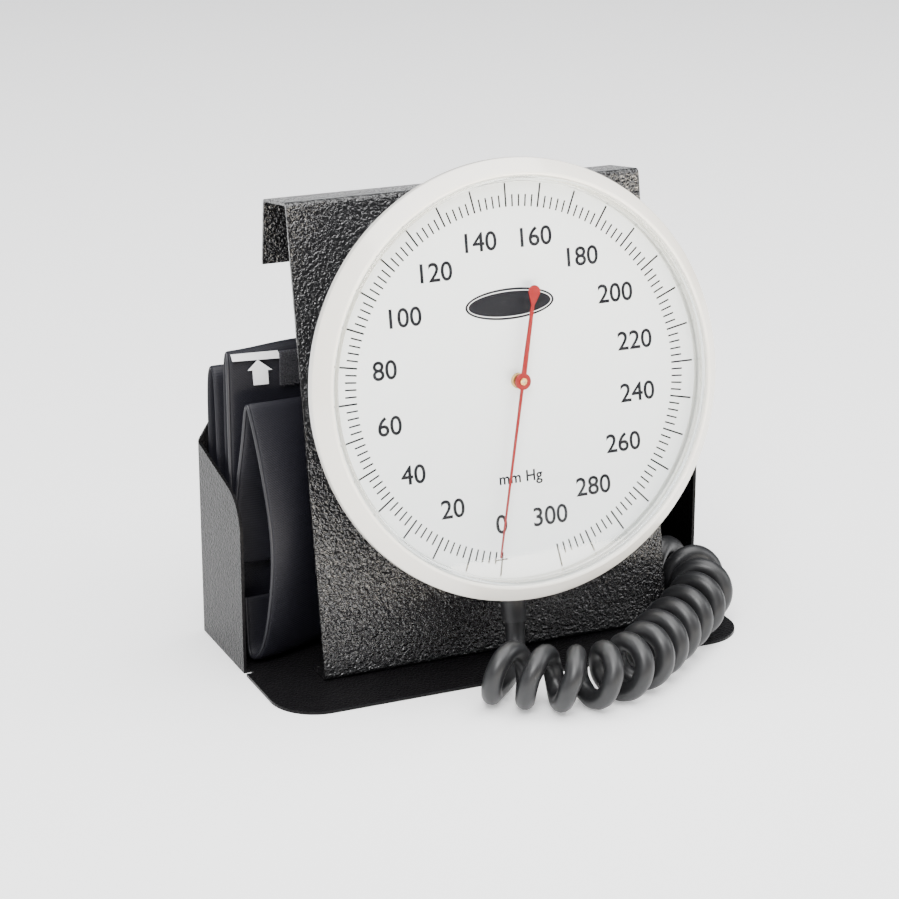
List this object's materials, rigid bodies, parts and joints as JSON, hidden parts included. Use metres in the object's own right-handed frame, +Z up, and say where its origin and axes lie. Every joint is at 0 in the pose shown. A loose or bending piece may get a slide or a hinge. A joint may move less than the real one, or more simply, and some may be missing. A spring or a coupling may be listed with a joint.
{
  "type": "upper arm blood pressure monitor",
  "caption": "Desk or rail mounted aneroid blood pressure monitor: large round dial on a leaning sheet metal stand, coiled hose, folded arm cuff and squeeze bulb in its rear tray.",
  "frame": {"origin": "middle of the base sheet's underside, which stands on the table", "axes": "+X to the right as seen by the reader of the dial, +Y to the back, +Z up"},
  "size_m": [0.1986, 0.1432, 0.1967],
  "materials": {
    "stand_black": "semi-gloss wrinkle powder coat",
    "case_grey": "satin grey enamel",
    "bezel_cream": "glossy moulded plastic",
    "trim_silver": "polished",
    "crystal_clear": "clear polished acrylic",
    "gasket_rubber": "matte",
    "dial_white": "satin with printed scale",
    "brass": "turned",
    "pointer_red": "satin enamel",
    "steel": "brushed",
    "capsule_bronze": "pressed and annealed",
    "hose_rubber": "semi-matte",
    "cuff_fabric": "fine twill",
    "bladder_rubber": "matte",
    "hook_tape": "fuzzy hook tape",
    "bulb_rubber": "smooth matte",
    "valve_chrome": "plated and knurled"
  },
  "bodies": {
    "root": {"tray": "stand_black", "front_bracket": "stand_black", "bracket_rivets": "steel", "case_screws": "steel", "gauge_case": "case_grey", "bezel_trim_ring": "trim_silver", "bezel": "bezel_cream", "crystal": "crystal_clear", "crystal_gasket": "gasket_rubber", "dial_plate": "dial_white", "dial_bush": "brass", "movement_bottom_plate": "brass", "movement_top_plate": "brass", "movement_pillars": "brass", "movement_screws": "steel", "diaphragm_capsule": "capsule_bronze", "hairspring": "capsule_bronze", "hose_inlet": "brass", "inner_pipe": "capsule_bronze", "hose_sleeve": "hose_rubber", "hose_drop": "hose_rubber", "hose_coil": "hose_rubber", "hose_tail": "hose_rubber", "hose_connector": "valve_chrome", "cuff_sleeve": "cuff_fabric", "cuff_bladder": "bladder_rubber", "cuff_hook_patch": "hook_tape", "hose_port": "bladder_rubber", "bulb_port": "bladder_rubber", "inflation_bulb": "bulb_rubber", "bulb_inlet_valve": "valve_chrome", "release_valve_body": "valve_chrome", "valve_elbow": "bladder_rubber"},
    "pointer": {"pointer": "pointer_red", "pointer_collet": "brass", "pinion_staff": "steel"},
    "sector": {"sector_gear": "brass", "sector_arbor": "steel"},
    "rocker": {"rocking_shaft": "steel"},
    "stud": {"capsule_stud": "steel"},
    "valve_screw": {"release_valve_screw": "valve_chrome"}
  },
  "joints": [
    {"name": "sector_swing", "type": "hinge", "parent": "root", "child": "sector", "pos_m": [0, -0.00843, 0.08114], "axis": [0, -0.9833, 0.1822], "range_deg": [-0.27, 39.72]},
    {"name": "pointer_turn", "type": "hinge", "parent": "root", "child": "pointer", "pos_m": [0, -0.00324, 0.10916], "axis": [0, 0.9833, -0.1822], "range_deg": [-2.3, 337.7]},
    {"name": "rocker_tilt", "type": "hinge", "parent": "root", "child": "rocker", "pos_m": [0, -0.02233, 0.08575], "axis": [1, 0, 0], "range_deg": [-0.1, 13.8]},
    {"name": "capsule_lift", "type": "slide", "parent": "root", "child": "stud", "axis": [0, -0.9833, 0.1822], "range_m": [-0.00003, 0.0031]},
    {"name": "release_screw_turn", "type": "hinge", "parent": "root", "child": "valve_screw", "pos_m": [0.065, 0.0248, 0.096], "axis": [0, -1, 0], "range_deg": [0, 360]}
  ],
  "couplings": [
    {"joint": "pointer_turn", "follows": "sector_swing", "ratio": 8.5},
    {"joint": "rocker_tilt", "follows": "sector_swing", "ratio": 0.3462},
    {"joint": "capsule_lift", "follows": "sector_swing", "m_per_rad": 0.004327}
  ]
}
